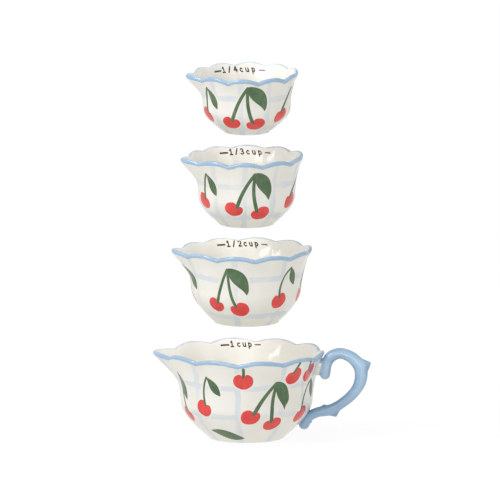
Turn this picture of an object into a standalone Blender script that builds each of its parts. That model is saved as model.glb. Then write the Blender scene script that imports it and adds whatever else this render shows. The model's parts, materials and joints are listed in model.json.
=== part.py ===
"""A nesting set of four ceramic measuring cups, each a scalloped bowl with a pouring spout.

Frame: metres, +Z up. The origin is the centre of the largest cup's flat foot. The four cups share
one vertical axis and stand apart above one another, the largest lowest, so each can be lowered
along -Z into the next larger one. The largest cup pours towards -X, and its handle is at +X.
"""

import math
from collections import namedtuple

import bmesh
import bpy
import numpy as np

# Pottery, common to every cup.
WALL = 0.0028
FLOOR = 0.0036
FOOT_EASE = 0.0007  # the small round where the foot meets the table
LOBES = 10
LOBE_DEPTH = 0.035  # crest to notch at the rim, as a share of the radius
RIM_WAVE = 0.0025  # crest to notch at the rim, in height
CREASE_SOFTNESS = 0.05
MEAN_OF_LOBE = 0.637
LIP_STEPS = 4

# The bowl's outline: its radius rises as a quarter sine over the bowl's share of the height to the
# wall's share of the rim radius, then flares to the rim with this power of the height.
FLARE_POWER = 4

# The spout: how wide it is, and where on the wall it starts.
SPOUT_WIDTH_DEG = 17.0
SPOUT_POWER = 1.6
SPOUT_START = 0.62
SPOUT_RISE = 0.40

AROUND = 6 * LOBES
OUTER_LEVELS = (0.02, 0.08, 0.16, 0.25, 0.36, 0.50, 0.66, 0.76, 0.85, 0.93, 1.0)
INNER_LEVELS = (1.0, 0.9, 0.8, 0.68, 0.52, 0.36, 0.22, 0.12, 0.06)

# Each cup: rim and foot radius, height to the middle of the lip, spout length and the dip of its
# tip, the wall's share of the rim radius, the bowl's share of the height, then how the hand-made
# rim differs at the back (its wave as a share of the front's, and its rise), the height of its
# foot and its turn about Z.
Cup = namedtuple(
    "Cup", "rim foot height spout dip wall_share bowl_share back_wave back_rise stands_at turn_deg"
)
CUPS = {
    "one_cup": Cup(
        0.0505, 0.0240, 0.0553, 0.0104, 0.0018, 0.850, 0.45, 1.0, -0.0004, 0.0, 0.0
    ),
    "half_cup": Cup(
        0.0425, 0.0205, 0.0471, 0.0064, 0.0000, 0.835, 0.48, 0.70, -0.0006, 0.0765, 14.5
    ),
    "third_cup": Cup(
        0.0372, 0.0174, 0.0437, 0.0072, 0.0008, 0.850, 0.44, 0.62, 0.0003, 0.1415, 23.5
    ),
    "quarter_cup": Cup(
        0.0337, 0.0143, 0.0374, 0.0066, 0.0008, 0.845, 0.44, 0.75, 0.0009, 0.2027, 20.5
    ),
}
HANDLED = "one_cup"

# The handle is a rounded strap bent in the XZ plane. Its knots are (x, z, half thickness), from
# the small curl under the rim, over the arch and down to the scroll that meets the bowl.
JOIN_GAP = 0.0003  # the luted joint between handle and cup
STRAP_HALF_WIDTH = 0.0040
STRAP_KNOTS = (
    (0.0518, 0.0426, 0.0034),
    (0.0530, 0.0500, 0.0036),
    (0.0562, 0.0548, 0.0038),
    (0.0625, 0.0567, 0.0036),
    (0.0698, 0.0538, 0.0039),
    (0.0748, 0.0478, 0.0043),
    (0.0755, 0.0408, 0.0042),
    (0.0732, 0.0342, 0.0037),
    (0.0682, 0.0280, 0.0034),
    (0.0608, 0.0222, 0.0033),
    (0.0540, 0.0188, 0.0035),
    (0.0470, 0.0174, 0.0033),
    (0.0410, 0.0142, 0.0033),
    (0.0380, 0.0094, 0.0036),
)
STEPS_PER_KNOT = 4
STRAP_SIDES = 14
END_STEPS = 4
# Pointed leaves on the strap: knot number, height, length along the strap in knots, side.
SPURS = (
    (5.0, 0.0038, 0.55, 1.0),
    (9.6, 0.0028, 0.55, 1.0),
    (10.3, 0.0012, 0.45, -1.0),
)
# Clay pads that join the strap to the bowl: outer end, inner end, half height, half width.
PADS = (
    ((0.0530, 0.0475), (0.0440, 0.0475), 0.0056, 0.0029),
    ((0.0415, 0.0140), (0.0345, 0.0105), 0.0034, 0.0030),
)
PAD_SIDES = 16

COLOURS = {
    "glaze": (0.84, 0.81, 0.76, 1.0),
    "blue_glaze": (0.35, 0.50, 0.74, 1.0),
}


def clear_scene():
    for thing in list(bpy.data.objects):
        bpy.data.objects.remove(thing, do_unlink=True)


def glazed(name, colour):
    material = bpy.data.materials.new(name)
    material.use_nodes = True
    shader = material.node_tree.nodes["Principled BSDF"]
    shader.inputs["Base Color"].default_value = colour
    shader.inputs["Roughness"].default_value = 0.12
    shader.inputs["Metallic"].default_value = 0.0
    material.diffuse_color = colour
    return material


def smooth_step(x):
    x = np.clip(x, 0.0, 1.0)
    return x * x * (3.0 - 2.0 * x)


def outer_point(cup, turn, level):
    """Radius and height on the outside of a cup, turn radians from its spout, at a share of its height."""
    base = cup.foot / cup.rim
    bowl = np.sin(math.pi / 2 * np.minimum(level / cup.bowl_share, 1.0))
    outline = base + (cup.wall_share - base) * bowl + (1.0 - cup.wall_share) * level**FLARE_POWER
    lobe = np.sqrt(np.cos(LOBES / 2 * turn) ** 2 + CREASE_SOFTNESS**2) - MEAN_OF_LOBE
    beak = np.exp(-((np.abs(np.degrees(turn)) / SPOUT_WIDTH_DEG) ** SPOUT_POWER))
    near_rim = level ** (FLARE_POWER + 1)
    radius = cup.rim * outline * (1.0 + LOBE_DEPTH * smooth_step((level - 0.15) / 0.8) * lobe)
    radius = radius + cup.spout * smooth_step((level - SPOUT_START) / SPOUT_RISE) * beak
    back = (1.0 - np.sin(turn)) / 2
    wave = RIM_WAVE * (1.0 - (1.0 - cup.back_wave) * back) * lobe
    return radius, cup.height * level + near_rim * (wave + cup.back_rise * back - cup.dip * beak)


def wall_frame(cup, turn, level):
    """The outer point there, with the unit direction that runs up the wall."""
    step = 1e-4
    radius, z = outer_point(cup, turn, level)
    lower_radius, lower_z = outer_point(cup, turn, level - step)
    run, rise = radius - lower_radius, z - lower_z
    length = np.hypot(run, rise)
    return radius, z, run / length, rise / length


def inner_point(cup, turn, level):
    radius, z, run, rise = wall_frame(cup, turn, level)
    return radius - WALL * rise, z + WALL * run


def turns():
    """Angles from the spout, round the cup."""
    turn = np.arange(AROUND) * 2 * math.pi / AROUND
    return (turn + math.pi) % (2 * math.pi) - math.pi


def lip_rings(cup, turn):
    """The half round that joins the outside of the wall to its inside."""
    radius, z, run, rise = wall_frame(cup, turn, 1.0)
    mid_radius, mid_z = radius - WALL / 2 * rise, z + WALL / 2 * run
    rings = []
    for k in range(1, LIP_STEPS):
        angle = math.pi * k / LIP_STEPS
        across, along = WALL / 2 * math.cos(angle), WALL / 2 * math.sin(angle)
        rings.append((mid_radius + across * rise + along * run, mid_z - across * run + along * rise))
    return rings


def shell_of_rings(name, rings):
    """A closed mesh from rings of (radius, height), fanned to a point at both ends."""
    turn = turns()
    mesh = bpy.data.meshes.new(name)
    bm = bmesh.new()
    loops = []
    for radius, z in rings:
        radius, z = np.broadcast_to(radius, turn.shape), np.broadcast_to(z, turn.shape)
        # the spout, at turn 0, points to -X
        loops.append(
            [bm.verts.new((-r * math.cos(a), -r * math.sin(a), h)) for a, r, h in zip(turn, radius, z)]
        )
    for low, high in zip(loops, loops[1:]):
        for k in range(AROUND):
            after = (k + 1) % AROUND
            bm.faces.new((low[k], low[after], high[after], high[k]))
    for loop in (loops[0], loops[-1]):
        centre = bm.verts.new((0.0, 0.0, sum(v.co.z for v in loop) / AROUND))
        for k in range(AROUND):
            bm.faces.new((loop[k], loop[(k + 1) % AROUND], centre))
    bmesh.ops.recalc_face_normals(bm, faces=bm.faces)
    bm.to_mesh(mesh)
    bm.free()
    return mesh


def cup_mesh(name, cup):
    turn = turns()
    rings = [(cup.foot - FOOT_EASE, 0.0)]
    rings += [outer_point(cup, turn, level) for level in OUTER_LEVELS]
    rings += lip_rings(cup, turn)
    rings += [inner_point(cup, turn, level) for level in INNER_LEVELS]
    lowest_radius, _ = rings[-1]
    rings.append((0.88 * lowest_radius, FLOOR))
    return shell_of_rings(name, rings)


def plug_mesh(name, cup, grow):
    """The cup with no hollow, larger by grow all over: what the handle is cut to."""
    turn = turns()
    rings = [(cup.foot, -grow)]
    for level in OUTER_LEVELS:
        radius, z, run, rise = wall_frame(cup, turn, level)
        rings.append((radius + grow * rise, z - grow * run))
    rings += [(r + grow, z + grow) for r, z in lip_rings(cup, turn)[: LIP_STEPS // 2]]
    return shell_of_rings(name, rings)


def knot_path(knots, steps):
    """Catmull-Rom points through the knots, with the knot number at each."""
    table = np.array(knots)
    table = np.vstack([2 * table[0] - table[1], table, 2 * table[-1] - table[-2]])
    points, numbers = [], []
    for i in range(len(knots) - 1):
        before, start, end, after = table[i : i + 4]
        for s in np.arange(steps) / steps:
            points.append(
                0.5
                * (
                    2 * start
                    + (end - before) * s
                    + (2 * before - 5 * start + 4 * end - after) * s**2
                    + (3 * start - before - 3 * end + after) * s**3
                )
            )
            numbers.append(i + s)
    points.append(table[-2])
    numbers.append(len(knots) - 1)
    return np.array(points), np.array(numbers)


def spur_height(number, side):
    """How far the pointed leaves stand out of the strap there, on its outer (+1) or inner (-1) side."""
    height = 0.0
    for centre, reach, length, spur_side in SPURS:
        if spur_side == side:
            height += reach * max(0.0, 1.0 - abs(number - centre) / length) ** 1.5
    return height


def strap_mesh(name):
    points, numbers = knot_path(STRAP_KNOTS, STEPS_PER_KNOT)
    along = np.gradient(points[:, :2], axis=0)
    along /= np.linalg.norm(along, axis=1, keepdims=True)
    mesh = bpy.data.meshes.new(name)
    bm = bmesh.new()

    def ring(centre, direction, half, width, outer=0.0, inner=0.0):
        """A rounded section. Its outer side is to the left of the strap's direction."""
        out_x, out_z = -direction[1], direction[0]
        loop = []
        for k in range(STRAP_SIDES):
            angle = 2 * math.pi * k / STRAP_SIDES
            across, side = math.cos(angle), math.sin(angle)
            reach = half * across + (outer if across > 0 else inner) * across * abs(across) ** 2
            loop.append(bm.verts.new((centre[0] + reach * out_x, width * side, centre[1] + reach * out_z)))
        return loop

    loops = []
    for end in (0, -1):
        centre, direction, half = points[end, :2], along[end], points[end, 2]
        outward = -1.0 if end == 0 else 1.0
        caps = []
        for k in range(1, END_STEPS + 1):
            angle = math.pi / 2 * k / (END_STEPS + 0.6)
            middle = centre + outward * direction * half * math.sin(angle)
            caps.append((middle, direction, half * math.cos(angle), STRAP_HALF_WIDTH * math.cos(angle)))
        if end == 0:
            loops += [ring(*cap) for cap in reversed(caps)]
            for point, direction_here, number in zip(points, along, numbers):
                outer, inner = spur_height(number, 1.0), spur_height(number, -1.0)
                loops.append(ring(point[:2], direction_here, point[2], STRAP_HALF_WIDTH, outer, inner))
        else:
            loops += [ring(*cap) for cap in caps]
    for low, high in zip(loops, loops[1:]):
        for k in range(STRAP_SIDES):
            after = (k + 1) % STRAP_SIDES
            bm.faces.new((low[k], low[after], high[after], high[k]))
    bm.faces.new(loops[0])
    bm.faces.new(loops[-1])
    bmesh.ops.recalc_face_normals(bm, faces=bm.faces)
    bm.to_mesh(mesh)
    bm.free()
    return mesh


def pad_mesh(name, outer_end, inner_end, half_height, half_width):
    """A short oval bar from the strap into the bowl's wall."""
    start, end = np.array(outer_end), np.array(inner_end)
    direction = (end - start) / np.linalg.norm(end - start)
    up = (-direction[1], direction[0])
    mesh = bpy.data.meshes.new(name)
    bm = bmesh.new()
    loops = []
    for centre in (start, end):
        loop = []
        for k in range(PAD_SIDES):
            angle = 2 * math.pi * k / PAD_SIDES
            rise, side = half_height * math.cos(angle), half_width * math.sin(angle)
            loop.append(bm.verts.new((centre[0] + rise * up[0], side, centre[1] + rise * up[1])))
        loops.append(loop)
    for k in range(PAD_SIDES):
        after = (k + 1) % PAD_SIDES
        bm.faces.new((loops[0][k], loops[0][after], loops[1][after], loops[1][k]))
    bm.faces.new(loops[0])
    bm.faces.new(loops[1])
    bmesh.ops.recalc_face_normals(bm, faces=bm.faces)
    bm.to_mesh(mesh)
    bm.free()
    return mesh


def add_object(name, mesh, material=None):
    thing = bpy.data.objects.new(name, mesh)
    bpy.context.scene.collection.objects.link(thing)
    if material:
        mesh.materials.append(material)
    return thing


def add_helper(name, mesh):
    """A shape that a Boolean uses, which isn't a part."""
    helper = add_object(name, mesh)
    helper.hide_render = True
    helper.display_type = "WIRE"
    return helper


def boolean(thing, other, operation):
    modifier = thing.modifiers.new(f"{operation.lower()}_{other.name}", "BOOLEAN")
    modifier.object = other
    modifier.operation = operation
    modifier.solver = "EXACT"


def add_cup(name, cup, material):
    body = add_object(f"{name}_body", cup_mesh(f"{name}_body", cup), material)
    body.location = (0.0, 0.0, cup.stands_at)
    body.rotation_euler = (0.0, 0.0, math.radians(cup.turn_deg))
    return body


def add_handle(name, cup, material):
    handle = add_object(f"{name}_handle", strap_mesh(f"{name}_handle"), material)
    for number, pad in enumerate(PADS):
        boolean(handle, add_helper(f"pad_{number}", pad_mesh(f"pad_{number}", *pad)), "UNION")
    boolean(handle, add_helper("cup_plug", plug_mesh("cup_plug", cup, JOIN_GAP)), "DIFFERENCE")
    return handle


def main():
    clear_scene()
    cream = glazed("glaze", COLOURS["glaze"])
    blue = glazed("blue_glaze", COLOURS["blue_glaze"])
    for name, cup in CUPS.items():
        add_cup(name, cup, cream)
    add_handle(HANDLED, CUPS[HANDLED], blue)


main()
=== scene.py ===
"""Looks for the measuring cup set: glazed bodies, painted cherries, measuring marks and a studio."""

import json
import math
from collections import namedtuple

import bmesh
import bpy
import numpy as np
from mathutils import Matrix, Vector
from mathutils.kdtree import KDTree

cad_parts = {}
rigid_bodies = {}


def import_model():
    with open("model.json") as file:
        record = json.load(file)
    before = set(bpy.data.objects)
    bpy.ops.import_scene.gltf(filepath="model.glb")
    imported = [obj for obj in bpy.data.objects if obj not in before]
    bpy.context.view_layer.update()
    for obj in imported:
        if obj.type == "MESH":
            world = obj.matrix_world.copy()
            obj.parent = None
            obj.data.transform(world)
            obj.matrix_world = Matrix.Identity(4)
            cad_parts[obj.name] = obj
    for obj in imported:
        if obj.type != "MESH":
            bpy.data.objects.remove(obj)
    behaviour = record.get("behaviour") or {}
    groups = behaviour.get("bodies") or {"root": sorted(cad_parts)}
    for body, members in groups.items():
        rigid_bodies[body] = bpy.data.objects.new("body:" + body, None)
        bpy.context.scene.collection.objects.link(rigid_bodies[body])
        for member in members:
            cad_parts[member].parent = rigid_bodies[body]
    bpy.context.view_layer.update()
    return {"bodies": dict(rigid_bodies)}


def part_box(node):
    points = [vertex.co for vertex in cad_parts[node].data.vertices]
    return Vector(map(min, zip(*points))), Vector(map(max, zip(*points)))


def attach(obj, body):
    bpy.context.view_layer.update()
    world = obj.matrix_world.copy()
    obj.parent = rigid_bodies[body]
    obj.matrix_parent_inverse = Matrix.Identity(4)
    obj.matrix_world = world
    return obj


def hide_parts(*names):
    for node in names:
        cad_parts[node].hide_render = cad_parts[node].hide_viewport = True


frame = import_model()
foot_heights = {body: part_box(f"{body}_body")[0].z for body in frame["bodies"]}

# ---------------------------------------------------------------- the cups' shape, as in the CAD
# Lengths are in metres here, and in millimetres wherever something is painted.
MM = 0.001
WALL = 0.0028
FLOOR = 0.0036
FOOT_EASE = 0.0007
LOBES = 10
LOBE_DEPTH = 0.035
RIM_WAVE = 0.0025
CREASE_SOFTNESS = 0.05
MEAN_OF_LOBE = 0.637
FLARE_POWER = 4
SPOUT_WIDTH_DEG = 17.0
SPOUT_POWER = 1.6
SPOUT_START = 0.62
SPOUT_RISE = 0.40
LOBE_START = 0.15
LOBE_RISE = 0.80

Cup = namedtuple("Cup", "rim foot height spout dip wall_share bowl_share back_wave back_rise turn_deg")
CUPS = {
    "one_cup": Cup(0.0505, 0.0240, 0.0553, 0.0104, 0.0018, 0.850, 0.45, 1.0, -0.0004, 0.0),
    "half_cup": Cup(0.0425, 0.0205, 0.0471, 0.0064, 0.0000, 0.835, 0.48, 0.70, -0.0006, 14.5),
    "third_cup": Cup(0.0372, 0.0174, 0.0437, 0.0072, 0.0008, 0.850, 0.44, 0.62, 0.0003, 23.5),
    "quarter_cup": Cup(0.0337, 0.0143, 0.0374, 0.0066, 0.0008, 0.845, 0.44, 0.75, 0.0009, 20.5),
}
HANDLED = "one_cup"
FOOT_SHARES = (0.25, 0.5, 0.75)  # glazed rings under the foot, as shares of its radius
BARE_RING = (0.0040, 0.0025, 0.0012)  # bare clay rings, this far in from the foot's edge

# Mesh density.
AROUND = 36 * LOBES
OUTER_RINGS = 96
INNER_RINGS = 44
FLOOR_RINGS = 8
LIP_STEPS = 12
WALL_STARTS = 0.02  # levels at which the outer wall leaves the foot and the inner wall meets the floor
INSIDE_ENDS = 0.07

# ---------------------------------------------------------------- what is painted on each cup
# Everything is placed by (turn from the spout in degrees, height over the foot in mm), and its own
# points are (mm to the right, mm up) from there, seen from outside.
Stripes = namedtuple("Stripes", "count first_deg bands_mm")
STRIPES = {
    "one_cup": Stripes(9, 49.0, (39.5, 20.0)),
    "half_cup": Stripes(7, 18.5, (33.6, 8.0)),
    "third_cup": Stripes(10, 34.0, (29.7, 8.5)),
    "quarter_cup": Stripes(10, 32.0, (26.0, 5.7)),
}
# A cherry is (right, up, width, height, tilt, dent), where the dent is from -1 at its left to 1.
# A pair is two cherries under one broad leaf, and a spray is one cherry beside a slim leaf.
Pair = namedtuple("Pair", "at leaf_tip leaf_size left right")
Spray = namedtuple("Spray", "at tip cherry")
Cherry = namedtuple("Cherry", "at stem_to cherry")
Leaf = namedtuple("Leaf", "at tip")
MOTIFS = {
    "one_cup": (
        Spray((23.4, 45.5), (8.4, -17.2), (5.6, -27.0, 10.6, 9.0, -38, 0.1)),
        Spray((61.8, 46.3), (9.3, -12.6), (-4.3, -21.8, 12.2, 10.2, -34, 0.0)),
        Cherry((93.8, 44.4), (0.2, 8.4), (0.0, 0.0, 13.2, 11.0, 0, 0.0)),
        Pair(
            (121.8, 42.9), 0.70, (10.6, 18.9),
            (-16.0, -23.0, 12.8, 10.2, -6, 0.28), (0.2, -28.3, 12.4, 8.8, 16, -0.12),
        ),
        Cherry((138.2, 46.2), (2.0, 8.6), (0.0, 0.0, 12.8, 9.8, 34, 0.1)),
        Cherry((157.4, 46.8), (-3.2, 8.6), (0.0, 0.0, 13.6, 10.6, 44, 0.0)),
        Leaf((53.8, 8.9), (20.4, -4.9)),
        Spray((166.5, 41.5), (4.6, -13.0), (-8.8, -22.4, 12.4, 9.6, 34, 0.0)),
        Pair(
            (212.0, 43.0), 0.82, (11.6, 18.2),
            (-11.0, -24.0, 12.2, 9.8, -14, 0.2), (4.0, -28.0, 12.2, 9.0, 14, -0.2),
        ),
        Cherry((240.0, 44.5), (0.2, 8.4), (0.0, 0.0, 13.0, 10.8, 6, 0.0)),
        Spray((272.0, 46.0), (8.8, -13.0), (-4.6, -22.5, 11.6, 10.0, -24, 0.0)),
        Leaf((236.0, 10.0), (20.0, -4.4)),
        Pair(
            (310.0, 42.5), 0.85, (12.0, 17.8),
            (-10.5, -24.5, 12.2, 9.8, -16, 0.2), (5.0, -27.5, 12.2, 9.0, 16, -0.2),
        ),
        Cherry((335.0, 40.5), (-0.6, 8.0), (0.0, 0.0, 12.6, 10.4, -14, 0.0)),
    ),
    "half_cup": (
        Spray((2.5, 39.5), (9.0, -15.6), (-4.5, -22.5, 11.2, 9.4, -24, 0.0)),
        Pair(
            (62.6, 41.4), 0.90, (13.8, 17.9),
            (-9.6, -25.4, 11.6, 8.8, -30, 0.1), (6.8, -27.9, 12.6, 9.8, 16, -0.25),
        ),
        Spray((130.8, 40.6), (5.4, -12.6), (-6.9, -21.9, 11.4, 10.6, 22, 0.1)),
        Pair(
            (177.0, 41.0), 0.88, (12.6, 17.6),
            (-11.6, -21.6, 11.0, 8.8, -26, 0.1), (4.6, -27.6, 12.2, 9.4, 14, -0.2),
        ),
        Spray((228.0, 40.5), (8.0, -13.5), (-5.4, -21.8, 11.2, 9.6, 12, 0.0)),
        Pair(
            (280.0, 41.5), 0.88, (13.2, 17.8),
            (-8.8, -25.0, 11.6, 9.0, -24, 0.1), (6.6, -27.6, 12.2, 9.4, 14, -0.2),
        ),
        Spray((326.0, 40.0), (7.4, -13.2), (-5.6, -21.4, 11.2, 9.6, -16, 0.0)),
    ),
    "third_cup": (
        Spray((24.0, 37.4), (6.4, -14.8), (-6.4, -19.2, 12.2, 9.4, -34, 0.1)),
        Pair(
            (81.6, 39.0), 0.83, (12.2, 18.4),
            (-13.2, -24.5, 12.6, 9.2, -20, 0.25), (4.9, -27.3, 12.6, 9.0, 18, -0.3),
        ),
        Pair(
            (160.5, 39.0), 0.85, (12.0, 18.0),
            (-12.9, -20.9, 12.2, 9.6, 28, 0.1), (3.6, -26.0, 12.2, 9.2, 14, -0.2),
        ),
        Spray((222.0, 37.5), (7.0, -13.6), (-5.6, -19.8, 11.2, 9.4, 12, 0.0)),
        Pair(
            (272.0, 39.0), 0.83, (12.2, 18.2),
            (-9.4, -24.0, 12.2, 9.2, -18, 0.2), (5.6, -26.6, 12.2, 9.0, 16, -0.2),
        ),
        Spray((326.0, 37.0), (6.6, -13.8), (-5.4, -19.4, 11.2, 9.4, -16, 0.0)),
    ),
    "quarter_cup": (
        Spray((21.8, 32.6), (6.6, -14.2), (-5.2, -19.0, 12.0, 8.6, -34, 0.1)),
        Pair(
            (76.8, 34.7), 0.87, (13.6, 16.6),
            (-10.6, -24.8, 12.6, 8.4, -14, 0.05), (6.0, -25.7, 12.8, 8.2, 14, -0.3),
        ),
        Cherry((129.4, 13.8), (8.6, 17.4), (0.0, 0.0, 11.6, 8.6, 28, 0.1)),
        Spray((172.0, 33.0), (6.4, -13.4), (-4.0, -19.0, 10.8, 8.8, 8, 0.0)),
        Spray((218.0, 33.0), (6.6, -13.0), (-5.2, -18.8, 10.8, 8.8, 10, 0.0)),
        Pair(
            (268.0, 34.4), 0.86, (12.8, 16.2),
            (-9.0, -23.6, 11.8, 8.6, -14, 0.1), (5.6, -24.8, 11.8, 8.4, 14, -0.25),
        ),
        Spray((322.0, 32.6), (6.2, -13.0), (-5.0, -18.6, 10.6, 8.8, -14, 0.0)),
    ),
}
PAIR_STEMS_MM = {"one_cup": 2.7, "half_cup": 2.1, "third_cup": 2.5, "quarter_cup": 2.4}
SPRAY_STEM_MM = 1.8
CHERRY_STEM_MM = 2.0
LOW_LEAF_FULLNESS = 0.85
# The blue rim's edges, along the surface from the lip's top: down the outside, and down the inside.
RIM_BELOW_MM = 3.0
RIM_INSIDE_MM = -1.9
# The measuring marks inside: where the first dash starts, the words, and how far apart the letters are.
Mark = namedtuple("Mark", "turn_deg height_mm words step_mm")
MARKS = {
    "one_cup": Mark(297.2, 53.6, "1 cup", 3.55),
    "half_cup": Mark(291.0, 45.2, "1/2cup", 3.75),
    "third_cup": Mark(283.8, 42.1, "1/3cup", 3.85),
    "quarter_cup": Mark(300.0, 36.3, "1/4cup", 4.00),
}

# ---------------------------------------------------------------- colours, linear
CREAM = (0.738, 0.728, 0.680)
CREAM_WARM = (0.713, 0.693, 0.632)
# The inside's cream is lighter than the outside's: painted light.
INSIDE_PAINTED_LIGHT = (0.950, 0.928, 0.868)
# A duller cream, mixed into each cup by these shares: painted shade, which dims the top cup that no cup
# above shades. The inside's lighter cream is painted light on the insides, which lie in shade. Both are
# fitted to how light each cup looks in this studio, and aren't known differences in the glaze.
PAINTED_SHADE_CREAM = (0.710, 0.695, 0.640)
PAINTED_SHADE_SHARE = {"one_cup": 0.0, "half_cup": 0.0, "third_cup": 0.0, "quarter_cup": 0.5}
STRIPE = (0.545, 0.605, 0.672)
BLUE = (0.285, 0.435, 0.600)
BLUE_DEEP = (0.140, 0.250, 0.385)
BLUE_PALE = (0.395, 0.552, 0.712)
RIM_BLUE = (0.285, 0.420, 0.575)
RIM_PALE = (0.400, 0.530, 0.660)
RIM_THIN = (0.640, 0.710, 0.760)
RED = (0.680, 0.038, 0.033)
RED_DEEP = (0.600, 0.028, 0.025)
RED_PALE = (0.800, 0.100, 0.082)
GREEN = (0.060, 0.130, 0.050)
GREEN_DEEP = (0.040, 0.098, 0.036)
GREEN_PALE = (0.108, 0.178, 0.092)
INK = (0.030, 0.022, 0.018)
CLAY = (0.640, 0.560, 0.450)
GLAZE_IOR = 1.62


def smooth_step(x):
    x = np.clip(x, 0.0, 1.0)
    return x * x * (3.0 - 2.0 * x)


def outer_point(cup, turn, level):
    """Radius and height on the outside, turn radians from the spout, at a share of the height."""
    base = cup.foot / cup.rim
    bowl = np.sin(math.pi / 2 * np.minimum(level / cup.bowl_share, 1.0))
    outline = base + (cup.wall_share - base) * bowl + (1.0 - cup.wall_share) * level**FLARE_POWER
    lobe = np.sqrt(np.cos(LOBES / 2 * turn) ** 2 + CREASE_SOFTNESS**2) - MEAN_OF_LOBE
    from_spout = np.abs((np.degrees(turn) + 180.0) % 360.0 - 180.0)
    beak = np.exp(-((from_spout / SPOUT_WIDTH_DEG) ** SPOUT_POWER))
    near_rim = level ** (FLARE_POWER + 1)
    radius = cup.rim * outline * (1.0 + LOBE_DEPTH * smooth_step((level - LOBE_START) / LOBE_RISE) * lobe)
    radius = radius + cup.spout * smooth_step((level - SPOUT_START) / SPOUT_RISE) * beak
    back = (1.0 - np.sin(turn)) / 2
    wave = RIM_WAVE * (1.0 - (1.0 - cup.back_wave) * back) * lobe
    return radius, cup.height * level + near_rim * (wave + cup.back_rise * back - cup.dip * beak)


def wall_frame(cup, turn, level):
    """The outer point there, with the unit direction that runs up the wall."""
    step = 1e-4
    radius, z = outer_point(cup, turn, level)
    lower_radius, lower_z = outer_point(cup, turn, level - step)
    run, rise = radius - lower_radius, z - lower_z
    length = np.hypot(run, rise)
    return radius, z, run / length, rise / length


def outside(cup, turn, level, lift=0.0):
    radius, z, run, rise = wall_frame(cup, turn, level)
    return radius + lift * rise, z - lift * run


def inside(cup, turn, level, lift=0.0):
    return outside(cup, turn, level, -WALL - lift)


def level_at(cup, side, turn, z):
    """The level at which that side of the wall is at height z."""
    level = z / cup.height
    for _ in range(6):
        level = np.clip(level + (z - side(cup, turn, level)[1]) / cup.height, 0.01, 1.0)
    return level


def placed(name, turn, radius, z):
    """Points of a cup, in the row frame."""
    angle = turn + math.radians(CUPS[name].turn_deg)
    return np.stack([-radius * np.cos(angle), -radius * np.sin(angle), z + foot_heights[name]], axis=-1)


# ---------------------------------------------------------------- nodes
def link(tree, source, target):
    tree.links.new(source, target)


def attribute(tree, name):
    node = tree.nodes.new("ShaderNodeAttribute")
    node.attribute_name = name
    return node.outputs["Fac"]


def noise(tree, scale, detail=2.0, stretch=(1.0, 1.0, 1.0), roughness=0.5):
    where = tree.nodes.new("ShaderNodeTexCoord")
    mapping = tree.nodes.new("ShaderNodeMapping")
    mapping.inputs["Scale"].default_value = stretch
    link(tree, where.outputs["Object"], mapping.inputs["Vector"])
    node = tree.nodes.new("ShaderNodeTexNoise")
    node.inputs["Scale"].default_value = scale
    node.inputs["Detail"].default_value = detail
    node.inputs["Roughness"].default_value = roughness
    link(tree, mapping.outputs["Vector"], node.inputs["Vector"])
    return node.outputs["Fac"]


def sums(tree, operation, first, second):
    """A Math node on two values, each a socket or a number."""
    node = tree.nodes.new("ShaderNodeMath")
    node.operation = operation
    for socket, value in zip(node.inputs, (first, second)):
        if isinstance(value, (int, float)):
            socket.default_value = value
        else:
            link(tree, value, socket)
    return node.outputs["Value"]


def ramp(tree, value, start, end, low=0.0, high=1.0):
    """Runs smoothly from low at start to high at end."""
    node = tree.nodes.new("ShaderNodeMapRange")
    node.interpolation_type = "SMOOTHSTEP"
    for name, number in (("From Min", start), ("From Max", end), ("To Min", low), ("To Max", high)):
        node.inputs[name].default_value = number
    link(tree, value, node.inputs["Value"])
    return node.outputs["Result"]


def mix(tree, share, under, over):
    """Colours, each a socket or three numbers, mixed by a socket."""
    node = tree.nodes.new("ShaderNodeMix")
    node.data_type = "RGBA"
    link(tree, share, node.inputs[0])
    for socket, colour in ((node.inputs[6], under), (node.inputs[7], over)):
        if isinstance(colour, tuple):
            socket.default_value = (*colour, 1.0)
        else:
            link(tree, colour, socket)
    return node.outputs[2]


def glaze(name, colour_of, roughness, waviness=0.00012, wave_scale=90.0, grain=0.0):
    """A fired glaze: colour_of(tree) gives the colour, and slow waves break up the reflections."""
    material = bpy.data.materials.new(name)
    material.use_nodes = True
    tree = material.node_tree
    shader = tree.nodes["Principled BSDF"]
    link(tree, colour_of(tree), shader.inputs["Base Color"])
    shader.inputs["Roughness"].default_value = roughness
    shader.inputs["IOR"].default_value = GLAZE_IOR
    waves = noise(tree, wave_scale, 1.0)
    if grain:
        waves = sums(tree, "ADD", waves, sums(tree, "MULTIPLY", noise(tree, 2500.0, 2.0), grain))
    bump = tree.nodes.new("ShaderNodeBump")
    bump.inputs["Strength"].default_value = 1.0
    bump.inputs["Distance"].default_value = waviness
    link(tree, waves, bump.inputs["Height"])
    link(tree, bump.outputs["Normal"], shader.inputs["Normal"])
    return material


def blue_paint(tree, base, pale, deep):
    """Brushed blue glaze, thinner and paler in streaks."""
    streaks = ramp(tree, noise(tree, 110.0, 2.0, (1.0, 1.0, 1.6)), 0.45, 0.75, 0.0, 0.6)
    pools = ramp(tree, noise(tree, 60.0, 2.0), 0.48, 0.72, 0.0, 0.35)
    return mix(tree, pools, mix(tree, streaks, base, pale), deep)


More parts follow.
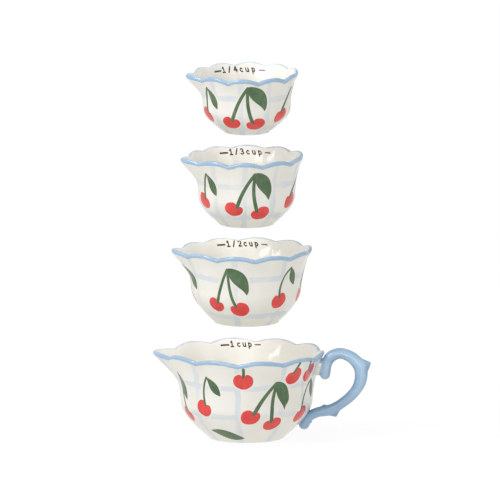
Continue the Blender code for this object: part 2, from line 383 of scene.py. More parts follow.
def body_paint(tree):
    lip, motif = attribute(tree, "lip_mm"), attribute(tree, "motif_mm")
    wobble = sums(tree, "MULTIPLY", sums(tree, "SUBTRACT", noise(tree, 160.0, 2.0), 0.5), 2.2)
    body = mix(tree, ramp(tree, noise(tree, 55.0, 3.0), 0.40, 0.72), CREAM, CREAM_WARM)
    # Painted shade: a duller cream over each cup by its share, fully inside and at 0.6 of it outside.
    body = mix(tree, sums(tree, "MULTIPLY", attribute(tree, "painted_shade"), 0.6), body, PAINTED_SHADE_CREAM)
    # Painted light: the insides get a lighter cream than the outsides.
    inside = mix(tree, attribute(tree, "painted_shade"), INSIDE_PAINTED_LIGHT, PAINTED_SHADE_CREAM)
    body = mix(tree, ramp(tree, lip, 0.0, -0.6), body, inside)
    clear = ramp(tree, sums(tree, "ADD", motif, sums(tree, "MULTIPLY", wobble, 0.3)), 0.4, 2.0)
    wash = ramp(tree, noise(tree, 75.0, 2.0), 0.30, 0.62, 0.45, 1.0)
    for name, half_width in (("stripe_mm", 1.9), ("band_mm", 1.8)):
        edge = sums(tree, "ADD", attribute(tree, name), wobble)
        stripe = ramp(tree, edge, half_width + 0.55, half_width - 0.55)
        share = sums(tree, "MULTIPLY", sums(tree, "MULTIPLY", stripe, clear), wash)
        body = mix(tree, sums(tree, "MULTIPLY", share, 0.72), body, STRIPE)
    drip = sums(tree, "ADD", lip, sums(tree, "MULTIPLY", wobble, 0.7))
    rim_out = ramp(tree, drip, RIM_BELOW_MM + 0.25, RIM_BELOW_MM - 0.25)
    rim_in = ramp(tree, drip, RIM_INSIDE_MM - 0.3, RIM_INSIDE_MM + 0.3)
    pooled = ramp(tree, drip, RIM_BELOW_MM - 1.4, RIM_BELOW_MM - 0.2, 0.0, 0.45)
    rim = mix(tree, pooled, blue_paint(tree, RIM_BLUE, RIM_PALE, BLUE), BLUE)
    rim = mix(tree, ramp(tree, drip, -0.4, -1.4, 0.0, 0.8), rim, RIM_THIN)
    return mix(tree, sums(tree, "MULTIPLY", rim_out, rim_in), body, rim)


def cherry_paint(tree):
    shade = ramp(tree, noise(tree, 150.0, 2.0), 0.36, 0.66)
    brush = ramp(tree, noise(tree, 420.0, 3.0, (1.0, 1.0, 0.45)), 0.52, 0.80, 0.0, 0.55)
    return mix(tree, brush, mix(tree, shade, RED, RED_DEEP), RED_PALE)


def leaf_paint(tree):
    shade = ramp(tree, noise(tree, 130.0, 2.0), 0.38, 0.66)
    brush = ramp(tree, noise(tree, 520.0, 3.0, (1.0, 1.0, 0.4)), 0.48, 0.78, 0.0, 0.65)
    return mix(tree, brush, mix(tree, shade, GREEN, GREEN_DEEP), GREEN_PALE)


def ink_paint(tree):
    return mix(tree, ramp(tree, noise(tree, 300.0, 2.0), 0.55, 0.80, 0.0, 0.12), INK, CREAM_WARM)


def handle_paint(tree):
    """Blue glaze over a cream bridge under the rim, with painted light and shade: a painted highlight along
    the ridge, darker edges where the glaze pools and painted shade falls, painted shade down the handle, and
    a painted paler curl.
    """
    wall, across = attribute(tree, "bridge_mm"), attribute(tree, "across")
    wobble = sums(tree, "SUBTRACT", noise(tree, 120.0, 2.0), 0.5)
    across = sums(tree, "ADD", across, sums(tree, "MULTIPLY", wobble, 0.5))
    blue = blue_paint(tree, BLUE, BLUE_PALE, BLUE_DEEP)
    # Painted highlight: paler along the ridge of the strap.
    painted_ridge_highlight = sums(tree, "MULTIPLY", ramp(tree, across, -0.25, 0.25), ramp(tree, across, 0.95, 0.50))
    blue = mix(tree, sums(tree, "MULTIPLY", painted_ridge_highlight, 0.55), blue, BLUE_PALE)
    # Darker in both edges of the strap: glaze pooled there, and painted shade.
    blue = mix(tree, ramp(tree, across, -0.45, -1.00, 0.0, 0.80), blue, BLUE_DEEP)
    blue = mix(tree, ramp(tree, across, 0.85, 1.10, 0.0, 0.40), blue, BLUE_DEEP)
    # Painted shade: darker down the handle, as the light falls from above.
    blue = mix(tree, ramp(tree, attribute(tree, "low"), 0.0, 1.0, 0.0, 0.48), blue, BLUE_DEEP)
    # Painted light: paler in the curl, high up by the wall.
    painted_curl_light = sums(tree, "MULTIPLY", ramp(tree, wall, 14.0, 3.0), ramp(tree, attribute(tree, "low"), 0.3, 0.0))
    blue = mix(tree, sums(tree, "MULTIPLY", painted_curl_light, 0.75), blue, BLUE_PALE)
    edge = sums(tree, "ADD", wall, sums(tree, "MULTIPLY", wobble, 1.2))
    return mix(tree, ramp(tree, edge, 2.4, 1.4), blue, CREAM)


def clay_paint(tree):
    return mix(tree, ramp(tree, noise(tree, 900.0, 3.0), 0.35, 0.75), CLAY, CREAM_WARM)


MATERIALS = {
    "body": glaze("painted_body_glaze", body_paint, 0.13),
    "cherry": glaze("cherry_red_glaze", cherry_paint, 0.16),
    "leaf": glaze("leaf_green_glaze", leaf_paint, 0.18),
    "ink": glaze("mark_ink_glaze", ink_paint, 0.22),
    "handle": glaze("handle_blue_glaze", handle_paint, 0.08),
    "foot": glaze("bare_clay_foot", clay_paint, 0.75, 0.00006, 600.0, 0.8),
}


# ---------------------------------------------------------------- painted skins
def knot_path(knots, steps):
    """Catmull-Rom points through knots of any number of values, with the knot number at each."""
    table = np.array(knots)
    table = np.vstack([2 * table[0] - table[1], table, 2 * table[-1] - table[-2]])
    points, numbers = [], []
    for i in range(len(knots) - 1):
        before, start, end, after = table[i : i + 4]
        for s in np.arange(steps) / steps:
            linear, square = end - before, 2 * before - 5 * start + 4 * end - after
            cubic = 3 * start - before - 3 * end + after
            points.append(0.5 * (2 * start + linear * s + square * s**2 + cubic * s**3))
            numbers.append(i + s)
    points.append(table[-2])
    numbers.append(len(knots) - 1)
    return np.array(points), np.array(numbers)


class Paint:
    """Thin closed skins that lie on one side of a cup's wall, gathered into one mesh."""

    RAISED = 0.09 * MM
    SUNK = -0.25 * MM
    EDGE = 0.35  # the lift at a skin's edge, as a share of its lift inside
    LOOPS = 12
    STEP_MM = 0.35

    def __init__(self, name, side):
        self.name, self.cup, self.side = name, CUPS[name], side
        self.sign = 1.0 if side is outside else -1.0
        self.points, self.faces, self.edges = [], [], []

    def add(self, at, spots, lift):
        """Adds points at (right, up) spots in mm around at, and returns the number of the first."""
        right, up = np.asarray(spots, float).T * MM
        turn = np.full_like(right, math.radians(at[0]))
        z = at[1] * MM + up
        for _ in range(2):
            level = level_at(self.cup, self.side, turn, z)
            radius = self.side(self.cup, turn, level)[0]
            turn = math.radians(at[0]) + self.sign * right / radius
        first = len(self.points)
        self.points.extend(placed(self.name, turn, *self.side(self.cup, turn, level, lift)))
        return first

    def patch(self, at, outline, rise=1.0):
        """A filled outline that has its middle in view of its whole edge."""
        outline = np.asarray(outline, float)
        middle, count = outline.mean(0), len(outline)
        top = rise * self.RAISED
        loops = [self.add(at, outline, self.SUNK), self.add(at, outline, self.EDGE * top)]
        self.edges.extend(self.points[loops[1] : loops[1] + count])
        for share in np.linspace(0.97, 0.0, self.LOOPS, endpoint=False):
            loops.append(self.add(at, middle + share * (outline - middle), top))
        for low, high in zip(loops, loops[1:]):
            for k in range(count):
                after = (k + 1) % count
                self.faces.append((low + k, low + after, high + after, high + k))
        centre = self.add(at, [middle], top)
        bottom = self.add(at, [middle], 2 * self.SUNK)
        for k in range(count):
            after = (k + 1) % count
            self.faces.append((loops[-1] + k, loops[-1] + after, centre))
            self.faces.append((loops[0] + after, loops[0] + k, bottom))

    def ribbon(self, at, line, start_width, end_width, rise=1.0):
        """A brush stroke along a line, with rounded ends."""
        line = resampled(line, self.STEP_MM)
        widths = np.linspace(start_width, end_width, len(line))
        along = np.gradient(line, axis=0)
        along /= np.linalg.norm(along, axis=1, keepdims=True)
        starts, ends = [], []
        for angle in np.radians((80, 60, 40, 20)):
            c, s = math.cos(angle), math.sin(angle)
            starts.append((line[0] - along[0] * widths[0] / 2 * s, along[0], widths[0] * c))
            ends.insert(0, (line[-1] + along[-1] * widths[-1] / 2 * s, along[-1], widths[-1] * c))
        stations = starts + list(zip(line, along, widths)) + ends
        centres = np.array([s[0] for s in stations])
        across = np.array([(-s[1][1], s[1][0]) for s in stations])
        half = np.array([s[2] for s in stations])[:, None] / 2
        top = rise * self.RAISED
        edge = self.EDGE * top
        section = ((-1, self.SUNK), (-1, edge), (-0.8, top), (0, top), (0.8, top), (1, edge), (1, self.SUNK))
        rows = [self.add(at, centres + share * half * across, lift) for share, lift in section]
        count = len(stations)
        for row in (rows[1], rows[-2]):
            self.edges.extend(self.points[row : row + count])
        for row, after in zip(rows, rows[1:] + rows[:1]):
            for k in range(count - 1):
                self.faces.append((row + k, row + k + 1, after + k + 1, after + k))
        self.faces.append(tuple(rows))
        self.faces.append(tuple(row + count - 1 for row in reversed(rows)))

    def build(self, kind, material):
        mesh = bpy.data.meshes.new(f"{self.name}_{kind}")
        mesh.from_pydata([tuple(p) for p in self.points], [], self.faces)
        piece = finished(f"{self.name}_{kind}", mesh, material)
        make_outward(piece)
        return piece


def resampled(line, step):
    """The same line with points an even step apart."""
    line = np.asarray(line, float)
    walked = np.concatenate([[0.0], np.cumsum(np.linalg.norm(np.diff(line, axis=0), axis=1))])
    spots = np.linspace(0.0, walked[-1], max(3, int(walked[-1] / step) + 1))
    return np.stack([np.interp(spots, walked, line[:, k]) for k in (0, 1)], axis=-1)


def make_outward(piece):
    bm = bmesh.new()
    bm.from_mesh(piece.data)
    bmesh.ops.recalc_face_normals(bm, faces=bm.faces)
    bm.to_mesh(piece.data)
    bm.free()


def finished(name, mesh, *materials):
    for material in materials:
        mesh.materials.append(material)
    mesh.polygons.foreach_set("use_smooth", [True] * len(mesh.polygons))
    piece = bpy.data.objects.new(name, mesh)
    bpy.context.scene.collection.objects.link(piece)
    return piece


def curve_through(start, bend, end):
    """A quadratic curve from start to end, whose middle is moved by bend."""
    t = np.linspace(0.0, 1.0, 24)[:, None]
    start, bend, end = (np.asarray(p, float) for p in (start, bend, end))
    return (1 - t) * start + t * end + 4 * t * (1 - t) * bend


def cherry_outline(right, up, width, height, tilt, dent):
    """A plump fruit, broad at the shoulders, with a dent where its stem goes in."""
    angle = np.linspace(0.0, 2 * math.pi, 64, endpoint=False)
    x, y = np.cos(angle), np.sin(angle)
    x = x * (1.0 + 0.08 * y)
    y = np.sign(y) * np.abs(y) ** 0.88
    y = y - 0.34 * np.exp(-(((x - dent) / 0.30) ** 2)) * smooth_step(1.6 * y)
    y = y + 0.015 * np.sin(5 * angle + right)
    x, y = width / 2 * x, height / 2 * y
    c, s = math.cos(math.radians(tilt)), math.sin(math.radians(tilt))
    return np.stack([right + c * x - s * y, up + s * x + c * y], axis=-1)


def stem_end(right, up, width, height, tilt, dent):
    """Just inside the dent."""
    x, y = dent * width / 2, 0.50 * height / 2
    c, s = math.cos(math.radians(tilt)), math.sin(math.radians(tilt))
    return right + c * x - s * y, up + s * x + c * y


def slim_leaf(tip, fullness=1.0):
    """A pointed leaf from (0, 0) to its tip, widest past its middle."""
    tip = np.asarray(tip, float)
    side = fullness * np.array([-tip[1], tip[0]])
    t = np.linspace(0.0, 1.0, 28)[:, None]
    over = t * tip + 0.20 * np.sin(math.pi * t**1.05) ** 0.9 * side
    under = t * tip - 0.19 * np.sin(math.pi * t**1.25) ** 0.9 * side
    return np.concatenate([over, under[-2:0:-1]])


# The broad leaf in its own width and height: over its back from the stem towards the tip, the last point
# of the back from the tip, and back to the stem below, from the tip of a leaf with LEAF_TIP_SHARE.
LEAF_BACK = ((0.0, 0.0), (0.20, 0.03), (0.50, -0.02), (0.79, -0.16), (0.96, -0.40), (1.0, -0.66))
LEAF_LAST = (0.085, 0.13)
LEAF_FRONT = ((-0.17, 0.17), (-0.41, 0.33), (-0.64, 0.51), (-0.81, 0.75))
LEAF_TIP_SHARE = 0.86


def broad_leaf(tip_share, width, height):
    tip = np.array([tip_share, -1.0])
    back = [*LEAF_BACK, tip + LEAF_LAST, tip]
    front = [tip + (across * tip_share / LEAF_TIP_SHARE, up) for across, up in LEAF_FRONT]
    over = knot_path(back, 6)[0]
    under = knot_path([tip, *front, LEAF_BACK[0]], 6)[0]
    return np.concatenate([over, under[1:-1]]) * (width, height)


def paint_cherry(reds, greens, at, cherry, stem_from, bend, stem_widths):
    """One fruit on its stem."""
    reds.patch(at, cherry_outline(*cherry))
    greens.ribbon(at, curve_through(stem_from, bend, stem_end(*cherry)), *stem_widths, rise=1.35)


def paint_motifs(name):
    reds, greens = Paint(name, outside), Paint(name, outside)
    thick = PAIR_STEMS_MM[name]
    for motif in MOTIFS[name]:
        at = motif.at
        if isinstance(motif, Pair):
            greens.patch(at, broad_leaf(motif.leaf_tip, *motif.leaf_size), rise=1.3)
            paint_cherry(reds, greens, at, motif.left, (0.4, -0.6), (-1.0, 0.6), (0.85 * thick, thick))
            paint_cherry(reds, greens, at, motif.right, (0.5, -2.4), (-1.4, -0.3), (0.85 * thick, thick))
        elif isinstance(motif, Spray):
            greens.patch(at, slim_leaf(motif.tip), rise=1.3)
            stem = (0.75 * SPRAY_STEM_MM, SPRAY_STEM_MM)
            paint_cherry(reds, greens, at, motif.cherry, (0.2, -0.3), (-2.3, 0.5), stem)
        elif isinstance(motif, Cherry):
            stem = (CHERRY_STEM_MM, 0.9 * CHERRY_STEM_MM)
            paint_cherry(reds, greens, at, motif.cherry, motif.stem_to, (0.2, 0.0), stem)
        else:
            greens.patch(at, slim_leaf(motif.tip, LOW_LEAF_FULLNESS), rise=1.3)
    for kind, paint, material in (("cherries", reds, "cherry"), ("leaves", greens, "leaf")):
        piece = paint.build(kind, MATERIALS[material])
        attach(piece, name)
    return reds.edges + greens.edges


# ---------------------------------------------------------------- measuring marks
def arc(cx, cy, rx, ry, start, end):
    angle = np.radians(np.linspace(start, end, 16))
    return [(cx + rx * math.cos(a), cy + ry * math.sin(a)) for a in angle]


# Plain pen strokes in a box one unit wide and one high. Small letters are 0.66 high.
LETTERS = {
    "1": ([(0.22, 0.80), (0.50, 1.0)], [(0.50, 1.0), (0.50, 0.0)], [(0.20, 0.0), (0.80, 0.0)]),
    "2": (arc(0.5, 0.70, 0.32, 0.30, 165, -40), [(0.745, 0.507), (0.18, 0.0)], [(0.18, 0.0), (0.86, 0.0)]),
    "3": (arc(0.46, 0.75, 0.30, 0.25, 150, -90), arc(0.46, 0.25, 0.34, 0.25, 90, -150)),
    "4": ([(0.64, 1.0), (0.14, 0.34)], [(0.14, 0.34), (0.90, 0.34)], [(0.64, 1.0), (0.64, 0.0)]),
    "/": ([(0.22, -0.06), (0.76, 1.04)],),
    "c": (arc(0.50, 0.33, 0.30, 0.33, 45, 315),),
    "u": ([(0.20, 0.66), (0.20, 0.27)], arc(0.47, 0.27, 0.27, 0.27, 180, 360), [(0.74, 0.66), (0.74, 0.0)]),
    "p": ([(0.22, 0.66), (0.22, -0.34)], arc(0.48, 0.34, 0.28, 0.31, 150, -150)),
}
LETTER_HIGH = 3.3
LETTER_WIDE = 2.8
SPACE_STEP = 0.9
DASH_LONG = 5.0
DASH_SHORT = 3.6
DASH_GAP = 1.1
PEN = 0.78
DASH_PEN = 1.05


def paint_marks(name):
    mark = MARKS[name]
    paint = Paint(name, inside)
    at = (mark.turn_deg, mark.height_mm)
    middle = 0.36 * LETTER_HIGH
    paint.ribbon(at, [(0.0, 0.0), (DASH_LONG, 0.0)], DASH_PEN, DASH_PEN)
    right = DASH_LONG + DASH_GAP
    for letter in mark.words:
        if letter == " ":
            right += SPACE_STEP
            continue
        for stroke in LETTERS[letter]:
            line = [(right + LETTER_WIDE * x, LETTER_HIGH * y - middle) for x, y in stroke]
            paint.ribbon(at, line, PEN, PEN)
        right += mark.step_mm
    right += DASH_GAP
    paint.ribbon(at, [(right, 0.0), (right + DASH_SHORT, 0.0)], 0.8 * PEN, PEN)
    piece = paint.build("marks", MATERIALS["ink"])
    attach(piece, name)


# ---------------------------------------------------------------- bodies
def rings_of(cup, turn):
    """(radius, z) rings from the middle of the foot, over the lip, to the middle of the floor."""
    flat = np.zeros_like(turn)
    rings = [(flat + share * cup.foot, flat) for share in FOOT_SHARES]
    rings += [(flat + cup.foot - back, flat) for back in BARE_RING]
    low_radius, low_z = outer_point(cup, turn, WALL_STARTS)
    ease = cup.foot - FOOT_EASE
    for angle in np.radians([0, 22, 45, 68]):
        rings.append((ease + (low_radius - ease) * np.sin(angle), low_z * (1 - np.cos(angle))))
    foot_rings = len(rings)
    for level in np.linspace(WALL_STARTS, 1.0, OUTER_RINGS):
        rings.append(outer_point(cup, turn, level))
    radius, z, run, rise = wall_frame(cup, turn, 1.0)
    middle_radius, middle_z = radius - WALL / 2 * rise, z + WALL / 2 * run
    for k in range(1, LIP_STEPS):
        angle = math.pi * k / LIP_STEPS
        across, along = WALL / 2 * math.cos(angle), WALL / 2 * math.sin(angle)
        rings.append((middle_radius + across * rise + along * run, middle_z - across * run + along * rise))
    lip_top = len(rings) - LIP_STEPS // 2
    for level in np.linspace(1.0, INSIDE_ENDS, INNER_RINGS):
        rings.append(inside(cup, turn, level))
    side_radius, side_z = rings[-1]
    for k in range(1, FLOOR_RINGS):
        share = 1.0 - k / FLOOR_RINGS
        rings.append((side_radius * share, FLOOR + (side_z - FLOOR) * share**5))
    return rings, foot_rings, lip_top


FAR_MM = 50.0  # stands for "nowhere near" in the distances painted on a body


def stripe_distance(name, turn, radius, z):
    """Millimetres to the nearest upright stripe and to the nearest band."""
    stripes = STRIPES[name]
    step = 360.0 / stripes.count
    lean = 2.0 * np.sin(np.degrees(turn) / 31.0) * (1.0 - 2.0 * z / CUPS[name].height)
    off = (np.degrees(turn) - stripes.first_deg + lean + step / 2) % step - step / 2
    across = np.abs(np.radians(off)) * radius / MM
    sway = 0.5 * np.sin(3.0 * turn + len(name))
    band = np.min([np.abs(z / MM - height - sway) for height in stripes.bands_mm], axis=0)
    return across, band


def set_attribute(mesh, name, values):
    mesh.attributes.new(name, "FLOAT", "POINT").data.foreach_set("value", values.astype(np.float32))


def add_body(name, painted_points):
    cup = CUPS[name]
    turn = np.linspace(0.0, 2 * math.pi, AROUND, endpoint=False)
    rings, foot_rings, lip_top = rings_of(cup, turn)
    radius = np.array([r for r, _ in rings])
    z = np.array([h for _, h in rings])
    count = len(rings)
    points = placed(name, np.tile(turn, (count, 1)), radius, z).reshape(-1, 3)
    ends = placed(name, np.zeros(2), np.zeros(2), np.array([0.0, FLOOR]))
    faces = []
    for row in range(count - 1):
        low, high = row * AROUND, (row + 1) * AROUND
        for k in range(AROUND):
            after = (k + 1) % AROUND
            faces.append((low + k, high + k, high + after, low + after))
    bottom, floor = count * AROUND, count * AROUND + 1
    last = (count - 1) * AROUND
    for k in range(AROUND):
        after = (k + 1) % AROUND
        faces.append((bottom, k, after))
        faces.append((last + k, floor, last + after))
    mesh = bpy.data.meshes.new(f"{name}_glazed")
    mesh.from_pydata([tuple(p) for p in np.vstack([points, ends])], [], faces)
    steps = np.hypot(np.diff(radius, axis=0), np.diff(z, axis=0))
    walked = np.vstack([np.zeros(AROUND), np.cumsum(steps, axis=0)])
    lip = (walked[lip_top] - walked) / MM
    across, band = stripe_distance(name, np.tile(turn, (count, 1)), radius, z)
    across[lip_top:], band[lip_top:] = FAR_MM, FAR_MM
    tree = KDTree(len(painted_points))
    for number, point in enumerate(painted_points):
        tree.insert(point, number)
    tree.balance()
    outer = slice(foot_rings * AROUND, lip_top * AROUND)
    motif = np.full(count * AROUND, FAR_MM)
    motif[outer] = [tree.find(point)[2] / MM for point in points[outer]]
    distances = {"lip_mm": lip, "stripe_mm": across, "band_mm": band, "motif_mm": motif}
    for label, values in distances.items():
        set_attribute(mesh, label, np.append(values.ravel(), [FAR_MM, -FAR_MM]))
    # Each cup's share of painted shade.
    set_attribute(mesh, "painted_shade", np.full(len(mesh.vertices), PAINTED_SHADE_SHARE[name]))
    piece = finished(f"{name}_glazed", mesh, MATERIALS["body"], MATERIALS["foot"])
    bare = np.zeros(len(mesh.polygons), np.int32)
    first_bare = len(FOOT_SHARES) * AROUND
    bare[first_bare : first_bare + len(BARE_RING) * AROUND] = 1
    mesh.polygons.foreach_set("material_index", bare)
    make_outward(piece)
    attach(piece, name)
    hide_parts(f"{name}_body")


for cup_name in CUPS:
    add_body(cup_name, paint_motifs(cup_name))
    paint_marks(cup_name)


# ---------------------------------------------------------------- handle
STRAP_HALF_WIDTH = 0.0040
STRAP_KNOTS = (
    (0.0518, 0.0426, 0.0034),
    (0.0530, 0.0500, 0.0036),
    (0.0562, 0.0548, 0.0038),
    (0.0625, 0.0567, 0.0036),
    (0.0698, 0.0538, 0.0039),
    (0.0748, 0.0478, 0.0043),
    (0.0755, 0.0408, 0.0042),
    (0.0732, 0.0342, 0.0037),
    (0.0682, 0.0280, 0.0034),
    (0.0608, 0.0222, 0.0033),
    (0.0540, 0.0188, 0.0035),
    (0.0470, 0.0174, 0.0033),
    (0.0410, 0.0142, 0.0033),
    (0.0380, 0.0094, 0.0036),
)
STEPS_PER_KNOT = 12
STRAP_SIDES = 40
END_STEPS = 9
SPURS = (
    (5.0, 0.0038, 0.55, 1.0),
    (9.6, 0.0028, 0.55, 1.0),
    (10.3, 0.0012, 0.45, -1.0),
)
PADS = (
    ((0.0530, 0.0475), (0.0440, 0.0475), 0.0056, 0.0029),
    ((0.0415, 0.0140), (0.0345, 0.0105), 0.0034, 0.0030),
)
BRIDGE_HEIGHTS = (0.0385, 0.0500)
PAINTED_SHADE_HEIGHTS = (0.0380, 0.0180)  # painted shade: the blue darkens down the handle between these heights
VOXEL = 0.00036


def spur_height(number, side):
    height = 0.0
    for centre, reach, length, spur_side in SPURS:
        if spur_side == side:
            height += reach * max(0.0, 1.0 - abs(number - centre) / length) ** 1.5
    return height


def tube(loops):
    """Points and faces of a closed tube through equal loops."""
    count = len(loops[0])
    points = [tuple(p) for loop in loops for p in loop]
    faces = []
    for row in range(len(loops) - 1):
        low, high = row * count, (row + 1) * count
        faces += [(low + k, low + (k + 1) % count, high + (k + 1) % count, high + k) for k in range(count)]
    faces.append(tuple(range(count)))
    faces.append(tuple((len(loops) - 1) * count + k for k in range(count)))
    return points, faces


def strap_loops():
    points, numbers = knot_path(STRAP_KNOTS, STEPS_PER_KNOT)
    along = np.gradient(points[:, :2], axis=0)
    along /= np.linalg.norm(along, axis=1, keepdims=True)

    def ring(centre, direction, half, width, outer=0.0, inner=0.0):
        out = np.array([-direction[1], direction[0]])
        loop = []
        for angle in np.linspace(0.0, 2 * math.pi, STRAP_SIDES, endpoint=False):
            across, side = math.cos(angle), math.sin(angle)
            reach = half * across + (outer if across > 0 else inner) * across**3
            loop.append((centre[0] + reach * out[0], width * side, centre[1] + reach * out[1]))
        return loop

    def cap(end, outward):
        centre, direction, half = points[end, :2], along[end], points[end, 2]
        for angle in np.radians(np.linspace(8, 84, END_STEPS)):
            middle = centre + outward * direction * half * math.sin(angle)
            yield ring(middle, direction, half * math.cos(angle), STRAP_HALF_WIDTH * math.cos(angle))

    loops = list(cap(0, -1.0))[::-1]
    for point, direction, number in zip(points, along, numbers):
        spurs = spur_height(number, 1.0), spur_height(number, -1.0)
        loops.append(ring(point[:2], direction, point[2], STRAP_HALF_WIDTH, *spurs))
    return loops + list(cap(-1, 1.0))


def pad_loops(outer_end, inner_end, half_height, half_width):
    start, end = np.array(outer_end), np.array(inner_end)
    direction = (end - start) / np.linalg.norm(end - start)
    up = np.array([-direction[1], direction[0]])
    loops = []
    for share in np.linspace(0.0, 1.0, 8):
        flare = 1.0 + 0.22 * abs(2 * share - 1.0) ** 3
        centre = start + share * (end - start)
        loop = []
        for angle in np.linspace(0.0, 2 * math.pi, 32, endpoint=False):
            rise, side = flare * half_height * math.cos(angle), flare * half_width * math.sin(angle)
            loop.append((centre[0] + rise * up[0], side, centre[1] + rise * up[1]))
        loops.append(loop)
    return loops


def add_handle():
    points, faces = [], []
    for loops in (strap_loops(), *(pad_loops(*pad) for pad in PADS)):
        more, sides = tube(loops)
        faces += [tuple(len(points) + k for k in face) for face in sides]
        points += more
    mesh = bpy.data.meshes.new("one_cup_scroll_handle")
    mesh.from_pydata(points, [], faces)
    piece = finished("one_cup_scroll_handle", mesh, MATERIALS["handle"])
    make_outward(piece)
    remesh = piece.modifiers.new("one_skin", "REMESH")
    remesh.mode = "VOXEL"
    remesh.voxel_size = VOXEL
    remesh.use_smooth_shade = True
    smooth = piece.modifiers.new("soft_joins", "SMOOTH")
    smooth.factor = 0.6
    smooth.iterations = 7
    graph = bpy.context.evaluated_depsgraph_get()
    made = bpy.data.meshes.new_from_object(piece.evaluated_get(graph))
    piece.modifiers.clear()
    piece.data = made
    made.polygons.foreach_set("use_smooth", [True] * len(made.polygons))
    cup = CUPS[HANDLED]
    co = np.empty(len(made.vertices) * 3)
    made.vertices.foreach_get("co", co)
    co = co.reshape(-1, 3)
    # The roots stop halfway into the wall.
    from_axis = np.hypot(co[:, 0], co[:, 1])
    turn = np.arctan2(-co[:, 1], -co[:, 0])
    wall, _, _, rise = wall_frame(cup, turn, level_at(cup, outside, turn, co[:, 2]))
    deepest = wall - WALL / 2 / rise
    co[:, :2] *= (np.maximum(from_axis, deepest) / from_axis)[:, None]
    made.vertices.foreach_set("co", co.ravel())
    # Only the upper bridge is pale, so the distance grows quickly above and below it.
    bridge = (from_axis - wall) / MM
    away = np.maximum(BRIDGE_HEIGHTS[0] - co[:, 2], co[:, 2] - BRIDGE_HEIGHTS[1]) / MM
    set_attribute(made, "bridge_mm", bridge + 3.0 * np.maximum(away, 0.0))
    path = knot_path(STRAP_KNOTS, STEPS_PER_KNOT)[0]
    along = np.gradient(path[:, :2], axis=0)
    along /= np.linalg.norm(along, axis=1, keepdims=True)
    offset = co[:, None, (0, 2)] - path[None, :, :2]
    near = np.argmin((offset**2).sum(axis=2), axis=1)
    offset = offset[np.arange(len(co)), near]
    out = np.stack([-along[near, 1], along[near, 0]], axis=-1)
    set_attribute(made, "across", (offset * out).sum(axis=1) / path[near, 2])
    # How far down the handle's painted shade has reached.
    set_attribute(made, "low", (PAINTED_SHADE_HEIGHTS[0] - co[:, 2]) / (PAINTED_SHADE_HEIGHTS[0] - PAINTED_SHADE_HEIGHTS[1]))
    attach(piece, HANDLED)
    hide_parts(f"{HANDLED}_handle")


add_handle()


# ---------------------------------------------------------------- studio
CAMERA_TURN = math.radians(6.5)
CAMERA_RISE = math.radians(9.5)
VIEW_SIZE = 0.3275  # what the frame spans
CAMERA_AWAY = 1.6
SIDE_SHIFT = 0.0023  # the cups' axis stands a little left of the frame's middle
LOOK_HEIGHT = 0.1242
FLOOR_REACH = 4.0
FLOOR_GAP = 0.0001
WHITE = (1.0, 1.0, 1.0, 1.0)
# The eye sees one floor and room, and the cups are lit by others: the strengths are set apart.
FLOOR_SEEN = (0.16, 0.16, 0.16, 1.0)
FLOOR_SEEN_GLOW = 0.86
FLOOR_LIT = (1.0, 0.985, 0.96, 1.0)
FLOOR_LIT_GLOW = 0.92
ROOM_SEEN_GLOW = 1.1
ROOM_LIT_GLOW = 0.82


def add_camera():
    data = bpy.data.cameras.new("camera")
    data.type = "ORTHO"
    data.ortho_scale = VIEW_SIZE
    camera = bpy.data.objects.new("camera", data)
    bpy.context.scene.collection.objects.link(camera)
    target = Vector((SIDE_SHIFT * math.cos(CAMERA_TURN), SIDE_SHIFT * math.sin(CAMERA_TURN), LOOK_HEIGHT))
    flat = math.cos(CAMERA_RISE)
    towards = Vector((math.sin(CAMERA_TURN) * flat, -math.cos(CAMERA_TURN) * flat, math.sin(CAMERA_RISE)))
    camera.location = target + CAMERA_AWAY * towards
    camera.rotation_euler = (-towards).to_track_quat("-Z", "Y").to_euler()
    bpy.context.scene.camera = camera


def add_softbox(name, place, size, power):
    data = bpy.data.lights.new(name, "AREA")
    data.shape = "RECTANGLE"
    data.size, data.size_y = size
    data.energy = power
    light = bpy.data.objects.new(name, data)
    light.location = place
    towards_cups = Vector((0.0, 0.0, LOOK_HEIGHT)) - light.location
    light.rotation_euler = towards_cups.to_track_quat("-Z", "Y").to_euler()
    bpy.context.scene.collection.objects.link(light)


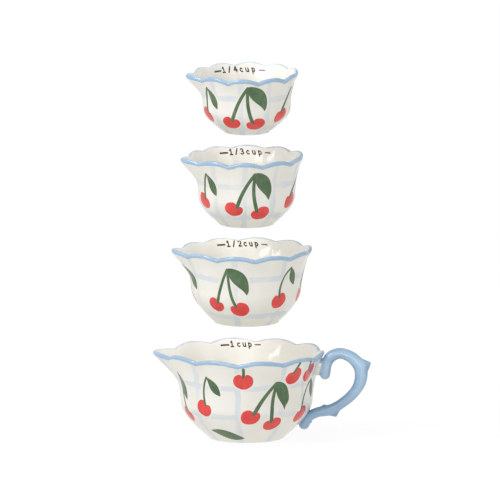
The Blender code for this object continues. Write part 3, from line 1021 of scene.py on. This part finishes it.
def add_floor():
    """A pale floor with only a faint shadow to the eye, and an even bounce for the bowls above it."""
    mesh = bpy.data.meshes.new("floor")
    corners = [(FLOOR_REACH * x, FLOOR_REACH * y, 0.0) for x, y in ((-1, -1), (1, -1), (1, 1), (-1, 1))]
    mesh.from_pydata(corners, [], [(0, 1, 2, 3)])
    material = bpy.data.materials.new("pale_floor")
    material.use_nodes = True
    tree = material.node_tree
    seen = tree.nodes["Principled BSDF"]
    seen.inputs["Base Color"].default_value = FLOOR_SEEN
    seen.inputs["Roughness"].default_value = 0.9
    seen.inputs["Specular IOR Level"].default_value = 0.0
    seen.inputs["Emission Color"].default_value = WHITE
    seen.inputs["Emission Strength"].default_value = FLOOR_SEEN_GLOW
    lit = tree.nodes.new("ShaderNodeEmission")
    lit.inputs["Color"].default_value = FLOOR_LIT
    lit.inputs["Strength"].default_value = FLOOR_LIT_GLOW
    path = tree.nodes.new("ShaderNodeLightPath")
    both = tree.nodes.new("ShaderNodeMixShader")
    link(tree, path.outputs["Is Camera Ray"], both.inputs[0])
    link(tree, lit.outputs[0], both.inputs[1])
    link(tree, seen.outputs[0], both.inputs[2])
    link(tree, both.outputs[0], tree.nodes["Material Output"].inputs["Surface"])
    mesh.materials.append(material)
    floor = bpy.data.objects.new("floor", mesh)
    floor.location.z = -FLOOR_GAP
    bpy.context.scene.collection.objects.link(floor)


def add_world():
    """An even white room that looks brighter than the light it gives."""
    world = bpy.data.worlds.new("studio")
    world.use_nodes = True
    tree = world.node_tree
    lit = tree.nodes["Background"]
    lit.inputs["Color"].default_value = WHITE
    lit.inputs["Strength"].default_value = ROOM_LIT_GLOW
    seen = tree.nodes.new("ShaderNodeBackground")
    seen.inputs["Color"].default_value = WHITE
    seen.inputs["Strength"].default_value = ROOM_SEEN_GLOW
    path = tree.nodes.new("ShaderNodeLightPath")
    both = tree.nodes.new("ShaderNodeMixShader")
    link(tree, path.outputs["Is Camera Ray"], both.inputs[0])
    link(tree, lit.outputs[0], both.inputs[1])
    link(tree, seen.outputs[0], both.inputs[2])
    link(tree, both.outputs[0], tree.nodes["World Output"].inputs["Surface"])
    bpy.context.scene.world = world


add_camera()
add_world()
add_floor()
add_softbox("key", (-1.48, -1.52, 1.42), (1.30, 0.85), 13.5)
add_softbox("top", (-0.92, -0.50, 1.70), (0.55, 0.75), 10.5)
add_softbox("front", (0.10, -2.20, 0.40), (1.40, 0.50), 7.5)
bpy.context.scene.view_settings.view_transform = "Standard"
